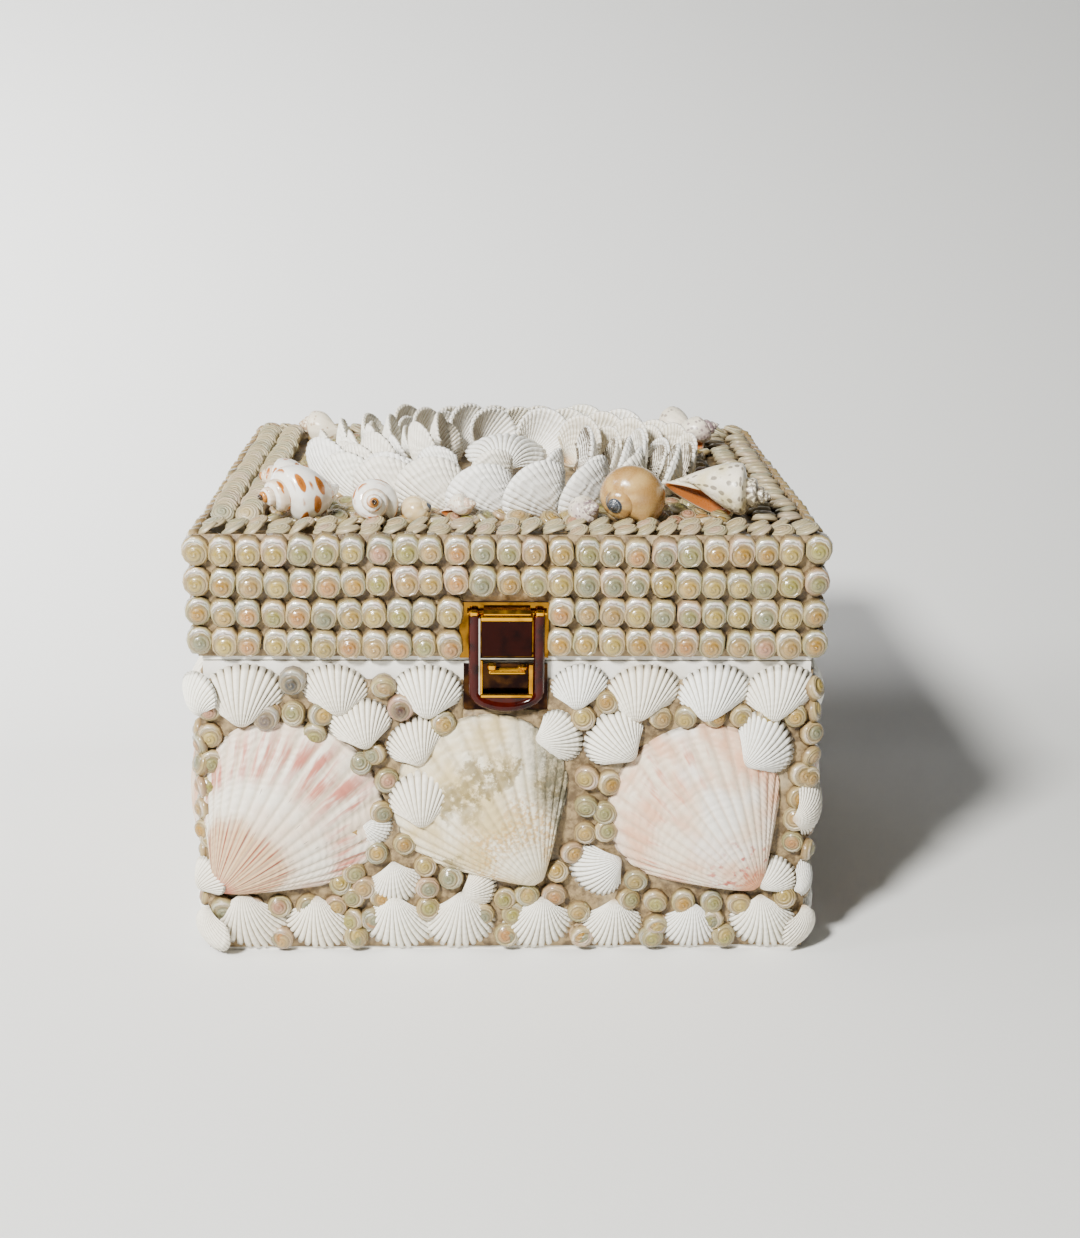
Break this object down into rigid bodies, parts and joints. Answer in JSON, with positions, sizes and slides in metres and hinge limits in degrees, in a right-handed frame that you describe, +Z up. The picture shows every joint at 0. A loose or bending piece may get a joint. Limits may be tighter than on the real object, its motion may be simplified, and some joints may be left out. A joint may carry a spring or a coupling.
{
  "type": "shell box",
  "caption": "Square lidded keepsake box covered in seashells, with a hinged lid that carries a rosette of cockles, and a metal clasp in front.",
  "frame": {"origin": "centre of the underside, on the surface that the box stands on", "axes": "+Z up, -Y towards the front with the clasp, +X to the right seen from the front"},
  "size_m": [0.2216, 0.2216, 0.1662],
  "materials": {
    "board": "matt white board",
    "scallop_pink": "satin shell, pale pink, ribbed",
    "scallop_cream": "satin shell, cream, ribbed",
    "cockle_mosaic": "white ribbed cockles with pearly button shells",
    "button_shell": "glossy button shells, cream to grey-green, pearly",
    "white_cockle": "matt white ribbed shell",
    "babylon_shell": "glossy white shell with orange-brown patches",
    "moon_shell": "glossy tan shell",
    "conch_shell": "satin cream shell with brown speckles",
    "hinge_brass": "satin",
    "clasp_gilt": "polished, gold-coloured",
    "clasp_smoked": "polished, with a dark red-brown reflection"
  },
  "bodies": {
    "box": {"back_cockles_and_buttons": "cockle_mosaic", "back_left_scallop": "scallop_pink", "back_middle_scallop": "scallop_cream", "back_right_scallop": "scallop_pink", "box_board": "board", "clasp_catch": "clasp_gilt", "front_cockles_and_buttons": "cockle_mosaic", "front_left_scallop": "scallop_pink", "front_middle_scallop": "scallop_cream", "front_right_scallop": "scallop_pink", "hinge_left_body_leaf": "hinge_brass", "hinge_left_pin": "hinge_brass", "hinge_right_body_leaf": "hinge_brass", "hinge_right_pin": "hinge_brass", "left_cockles_and_buttons": "cockle_mosaic", "left_left_scallop": "scallop_pink", "left_middle_scallop": "scallop_cream", "left_right_scallop": "scallop_pink", "right_cockles_and_buttons": "cockle_mosaic", "right_left_scallop": "scallop_pink", "right_middle_scallop": "scallop_cream", "right_right_scallop": "scallop_pink"},
    "lid": {"babylon_shell_behind": "babylon_shell", "babylon_shell_facing": "babylon_shell", "babylon_shell_lying": "babylon_shell", "babylon_shell_rear": "babylon_shell", "clasp_lid_plate": "clasp_gilt", "clasp_pin": "clasp_gilt", "conch_shell": "conch_shell", "conch_shell_rear": "conch_shell", "cowrie_shell": "moon_shell", "hinge_left_lid_leaf": "hinge_brass", "hinge_right_lid_leaf": "hinge_brass", "lid_back_button_rows": "button_shell", "lid_board": "board", "lid_field_buttons": "button_shell", "lid_front_button_rows": "button_shell", "lid_left_button_rows": "button_shell", "lid_right_button_rows": "button_shell", "lid_top_back_border": "button_shell", "lid_top_front_border": "button_shell", "lid_top_left_border": "button_shell", "lid_top_right_border": "button_shell", "moon_shell": "moon_shell", "moon_shell_rear": "moon_shell", "rosette_centre_cockle": "white_cockle", "rosette_inner_petals": "white_cockle", "rosette_middle_petals": "white_cockle", "rosette_outer_petals": "white_cockle", "whelk_shell_front": "conch_shell", "whelk_shell_small": "babylon_shell"},
    "clasp_flap": {"clasp_flap": "clasp_smoked"}
  },
  "joints": [
    {"name": "lid_hinge", "type": "hinge", "parent": "box", "child": "lid", "pos_m": [0, 0.1029, 0.1033], "axis": [-1, 0, 0], "range_deg": [0, 100]},
    {"name": "clasp_hinge", "type": "hinge", "parent": "lid", "child": "clasp_flap", "pos_m": [-0.0005, -0.103, 0.1204], "axis": [-1, 0, 0], "range_deg": [0, 110]}
  ]
}
